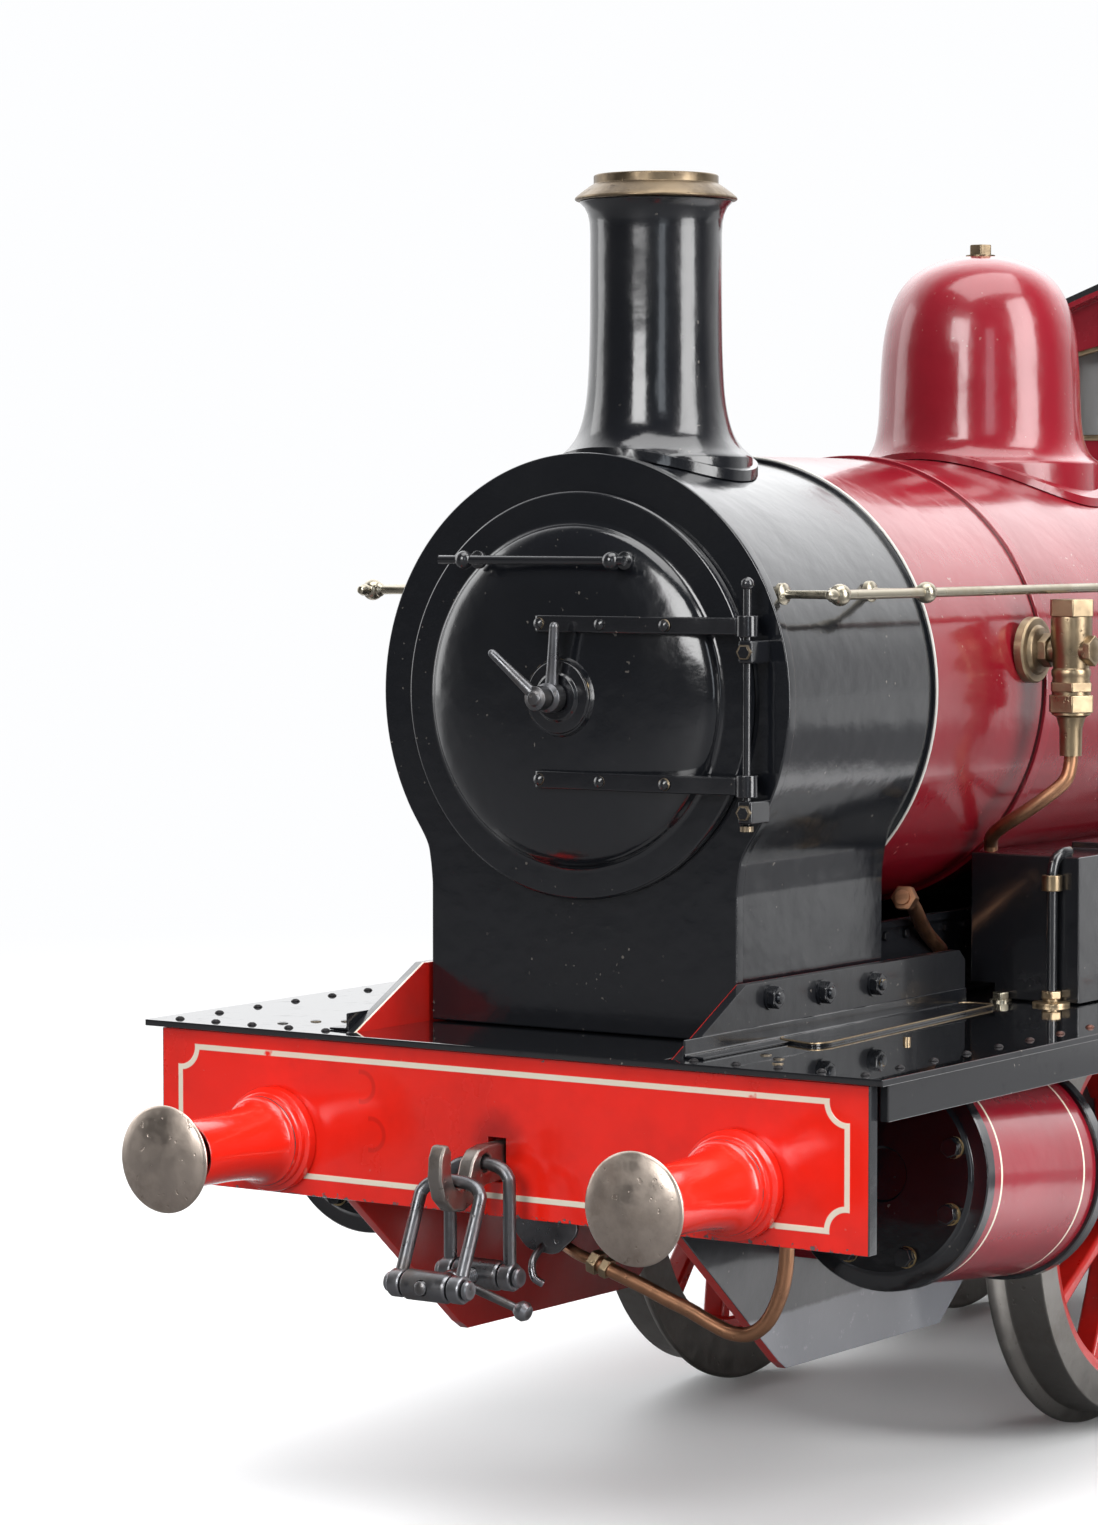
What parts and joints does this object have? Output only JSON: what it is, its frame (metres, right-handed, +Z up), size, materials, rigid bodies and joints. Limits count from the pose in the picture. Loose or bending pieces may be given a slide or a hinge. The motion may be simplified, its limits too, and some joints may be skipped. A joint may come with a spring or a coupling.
{
  "type": "model steam locomotive",
  "caption": "Six-coupled model steam locomotive with outside cylinders, tall chimney, domed boiler, opening smokebox door, screw coupling, cab and coal bunker.",
  "frame": {"origin": "centre of the bounding box in plan, at the lowest point of the wheel flanges", "axes": "+Y runs back along the engine from the front buffers, +Z up, +X to the engine's left-hand side"},
  "size_m": [0.2292, 0.7758, 0.3579],
  "materials": {
    "black_paint": "thick gloss black enamel, chipped at edges",
    "crimson_paint": "gloss crimson lake enamel with cream lining",
    "signal_red_paint": "gloss signal red enamel with cream lining",
    "wheel_red_paint": "red enamel centres, bare steel tyres",
    "bright_steel": "dull brushed steel",
    "dark_steel": "oiled dark steel",
    "nickelled_steel": "worn nickelled steel",
    "aged_brass": "tarnished brass"
  },
  "bodies": {
    "engine": {"stretcher": "black_paint", "beam_front": "signal_red_paint", "beam_rear": "signal_red_paint", "footplate": "black_paint", "smokebox": "black_paint", "boiler": "crimson_paint", "chimney": "black_paint", "chimney_cap": "aged_brass", "dome": "crimson_paint", "safety_valve": "aged_brass", "cab": "crimson_paint", "bunker": "crimson_paint", "frame_left": "black_paint", "frame_right": "black_paint", "clack_valve_left": "aged_brass", "clack_valve_right": "aged_brass", "handrail_left": "nickelled_steel", "handrail_right": "nickelled_steel", "sandbox_left": "black_paint", "sandbox_right": "black_paint", "cylinder_left": "crimson_paint", "cylinder_right": "crimson_paint", "guide_bars_left": "bright_steel", "guide_bars_right": "bright_steel", "buffer_stock_front_left": "signal_red_paint", "buffer_stock_front_right": "signal_red_paint", "buffer_stock_rear_left": "signal_red_paint", "buffer_stock_rear_right": "signal_red_paint"},
    "wheelset_front": {"axle_front": "bright_steel", "wheel_front_left": "wheel_red_paint", "wheel_front_right": "wheel_red_paint"},
    "wheelset_middle": {"axle_middle": "bright_steel", "wheel_middle_left": "wheel_red_paint", "wheel_middle_right": "wheel_red_paint"},
    "wheelset_rear": {"axle_rear": "bright_steel", "wheel_rear_left": "wheel_red_paint", "wheel_rear_right": "wheel_red_paint"},
    "coupling_rod_left": {"coupling_rod_left": "bright_steel"},
    "crosshead_left": {"crosshead_left": "bright_steel"},
    "connecting_rod_left": {"connecting_rod_left": "bright_steel"},
    "coupling_rod_right": {"coupling_rod_right": "bright_steel"},
    "crosshead_right": {"crosshead_right": "bright_steel"},
    "connecting_rod_right": {"connecting_rod_right": "bright_steel"},
    "smokebox_door": {"smokebox_door": "black_paint"},
    "door_handle_inner": {"door_handle_inner": "dark_steel"},
    "door_handle_outer": {"door_handle_outer": "dark_steel"},
    "buffer_head_front_left": {"buffer_head_front_left": "bright_steel"},
    "buffer_head_front_right": {"buffer_head_front_right": "bright_steel"},
    "buffer_head_rear_left": {"buffer_head_rear_left": "bright_steel"},
    "buffer_head_rear_right": {"buffer_head_rear_right": "bright_steel"},
    "drawhook_front": {"drawhook_front": "dark_steel"},
    "drawhook_rear": {"drawhook_rear": "dark_steel"},
    "coupling": {"coupling_link": "dark_steel", "coupling_nut_rear": "dark_steel", "coupling_nut_front": "dark_steel", "coupling_shackle": "dark_steel"},
    "coupling_screw": {"coupling_screw": "dark_steel"},
    "regulator_handle": {"regulator_handle": "bright_steel"},
    "firehole_door": {"firehole_door": "dark_steel"},
    "reverser_lever": {"reverser_lever": "bright_steel"}
  },
  "joints": [
    {"name": "wheels_front_turn", "type": "hinge", "parent": "engine", "child": "wheelset_front", "pos_m": [0, -0.1188, 0.06534], "axis": [1, 0, 0], "continuous": true},
    {"name": "wheels_middle_turn", "type": "hinge", "parent": "engine", "child": "wheelset_middle", "pos_m": [0, 0.022, 0.06534], "axis": [1, 0, 0], "continuous": true},
    {"name": "wheels_rear_turn", "type": "hinge", "parent": "engine", "child": "wheelset_rear", "pos_m": [0, 0.1628, 0.06534], "axis": [1, 0, 0], "continuous": true},
    {"name": "coupling_rod_left_swing", "type": "hinge", "parent": "wheelset_middle", "child": "coupling_rod_left", "pos_m": [0.07634, 0.01987, 0.04344], "axis": [1, 0, 0], "continuous": true},
    {"name": "crosshead_left_slide", "type": "slide", "parent": "engine", "child": "crosshead_left", "axis": [0, 0.9953, -0.0967], "range_m": [-0.02378, 0.02022]},
    {"name": "connecting_rod_left_swing", "type": "hinge", "parent": "crosshead_left", "child": "connecting_rod_left", "pos_m": [0.08206, -0.11265, 0.07842], "axis": [1, 0, 0], "range_deg": [0, 18.47]},
    {"name": "coupling_rod_right_swing", "type": "hinge", "parent": "wheelset_middle", "child": "coupling_rod_right", "pos_m": [-0.07634, 0.0001, 0.06747], "axis": [1, 0, 0], "continuous": true},
    {"name": "crosshead_right_slide", "type": "slide", "parent": "engine", "child": "crosshead_right", "axis": [0, 0.9953, -0.0967], "range_m": [0, 0.044]},
    {"name": "connecting_rod_right_swing", "type": "hinge", "parent": "crosshead_right", "child": "connecting_rod_right", "pos_m": [-0.08206, -0.13631, 0.08072], "axis": [1, 0, 0], "range_deg": [0, 9.24]},
    {"name": "smokebox_door_open", "type": "hinge", "parent": "engine", "child": "smokebox_door", "pos_m": [0.05478, -0.3058, 0.2167], "axis": [0, 0, 1], "range_deg": [0, 110]},
    {"name": "door_dart_turn", "type": "hinge", "parent": "smokebox_door", "child": "door_handle_inner", "pos_m": [0, -0.31372, 0.2167], "axis": [0, 1, 0], "range_deg": [-90, 30]},
    {"name": "door_lock_turn", "type": "hinge", "parent": "smokebox_door", "child": "door_handle_outer", "pos_m": [0, -0.3201, 0.2167], "axis": [0, 1, 0], "range_deg": [-150, 150]},
    {"name": "buffer_front_left_press", "type": "slide", "parent": "engine", "child": "buffer_head_front_left", "axis": [0, 1, 0], "range_m": [0, 0.005], "stiffness_N_per_m": 1500},
    {"name": "buffer_front_right_press", "type": "slide", "parent": "engine", "child": "buffer_head_front_right", "axis": [0, 1, 0], "range_m": [0, 0.005], "stiffness_N_per_m": 1500},
    {"name": "drawhook_front_pull", "type": "slide", "parent": "engine", "child": "drawhook_front", "axis": [0, -1, 0], "range_m": [0, 0.0025], "stiffness_N_per_m": 3000},
    {"name": "buffer_rear_left_press", "type": "slide", "parent": "engine", "child": "buffer_head_rear_left", "axis": [0, -1, 0], "range_m": [0, 0.005], "stiffness_N_per_m": 1500},
    {"name": "buffer_rear_right_press", "type": "slide", "parent": "engine", "child": "buffer_head_rear_right", "axis": [0, -1, 0], "range_m": [0, 0.005], "stiffness_N_per_m": 1500},
    {"name": "drawhook_rear_pull", "type": "slide", "parent": "engine", "child": "drawhook_rear", "axis": [0, 1, 0], "range_m": [0, 0.0025], "stiffness_N_per_m": 3000},
    {"name": "coupling_lift", "type": "hinge", "parent": "drawhook_front", "child": "coupling", "pos_m": [0, -0.3465, 0.099], "axis": [-1, 0, 0], "range_deg": [0, 32]},
    {"name": "coupling_screw_turn", "type": "hinge", "parent": "coupling", "child": "coupling_screw", "pos_m": [0, -0.3575, 0.0704], "axis": [0, 1, 0], "range_deg": [-40, 130]},
    {"name": "regulator_turn", "type": "hinge", "parent": "engine", "child": "regulator_handle", "pos_m": [0, 0.16137, 0.24904], "axis": [0, 1, 0], "range_deg": [-60, 40]},
    {"name": "firehole_door_open", "type": "hinge", "parent": "engine", "child": "firehole_door", "pos_m": [-0.01716, 0.1606, 0.18084], "axis": [0, 0, 1], "range_deg": [0, 100]},
    {"name": "reverser_throw", "type": "hinge", "parent": "engine", "child": "reverser_lever", "pos_m": [-0.0726, 0.2244, 0.13244], "axis": [1, 0, 0], "range_deg": [-22, 22]}
  ],
  "couplings": [
    {"joint": "wheels_front_turn", "follows": "wheels_middle_turn", "ratio": 1},
    {"joint": "wheels_rear_turn", "follows": "wheels_middle_turn", "ratio": 1},
    {"joint": "coupling_rod_left_swing", "follows": "wheels_middle_turn", "ratio": -1},
    {"joint": "coupling_rod_right_swing", "follows": "wheels_middle_turn", "ratio": -1}
  ]
}
